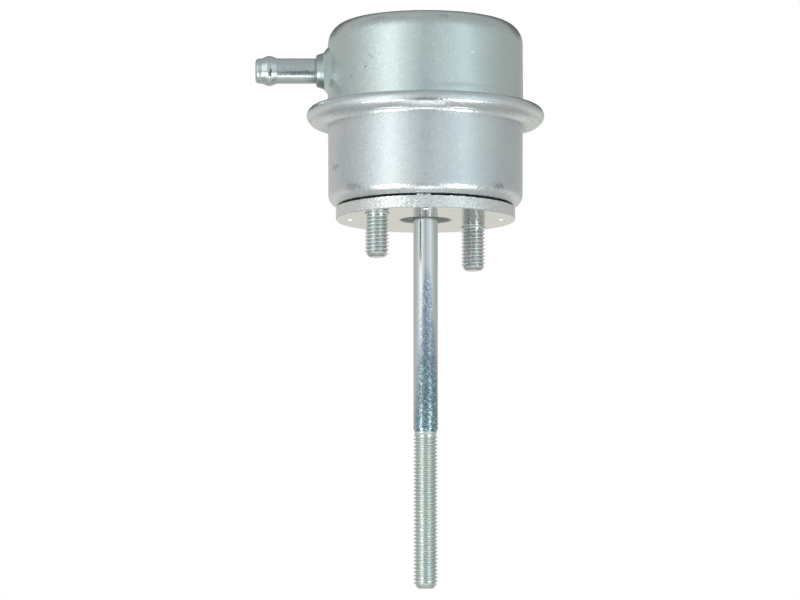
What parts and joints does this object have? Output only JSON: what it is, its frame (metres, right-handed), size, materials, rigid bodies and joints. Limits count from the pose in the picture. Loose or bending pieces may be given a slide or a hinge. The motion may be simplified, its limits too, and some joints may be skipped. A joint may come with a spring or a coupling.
{
  "type": "wastegate actuator",
  "caption": "Pressed-steel diaphragm actuator: crimped cans with a side hose nipple, a stud plate below and a long threaded rod that slides out under pressure.",
  "frame": {"origin": "centre of the mounting plate's lower face, which bears on the bracket", "axes": "+Z along the rod towards the cans, so the rod and studs point along -Z; the hose nipple points along -X"},
  "size_m": [0.1182, 0.0972, 0.232],
  "materials": {
    "can_zinc": "drawn sheet steel, clear-passivated zinc",
    "nipple_zinc": "turned steel, clear-passivated zinc",
    "braze": "brazed joint plated over with zinc",
    "plate_zinc": "ground and sheared steel plate, zinc plated",
    "stud_zinc": "rolled thread, zinc plated",
    "rod_zinc": "drawn bar, bright zinc, rolled thread",
    "inner_zinc": "pressed and turned steel, zinc plated",
    "diaphragm_rubber": "fabric-reinforced silicone rubber",
    "spring_steel": "shot-peened spring wire",
    "bush_bronze": "sintered bronze",
    "seal_rubber": "graphite-filled seal"
  },
  "bodies": {
    "casing": {"upper_can": "can_zinc", "lower_can": "can_zinc", "hose_nipple": "nipple_zinc", "nipple_braze": "braze", "mounting_plate": "plate_zinc", "stud_front": "stud_zinc", "stud_rear": "stud_zinc", "spring_seat": "inner_zinc", "diaphragm": "diaphragm_rubber", "return_spring": "spring_steel", "guide_bush": "bush_bronze", "dust_ring": "seal_rubber"},
    "rod_assembly": {"rod": "rod_zinc", "piston_cup": "inner_zinc", "diaphragm_retainer": "inner_zinc", "rivet_washer": "inner_zinc", "piston_spacer": "inner_zinc", "travel_sleeve": "inner_zinc"}
  },
  "joints": [
    {"name": "rod_slide", "type": "slide", "parent": "casing", "child": "rod_assembly", "axis": [0, 0, -1], "range_m": [0, 0.015], "stiffness_N_per_m": 9500, "springref_m": -0.055, "deforming": ["return_spring", "diaphragm"]}
  ]
}
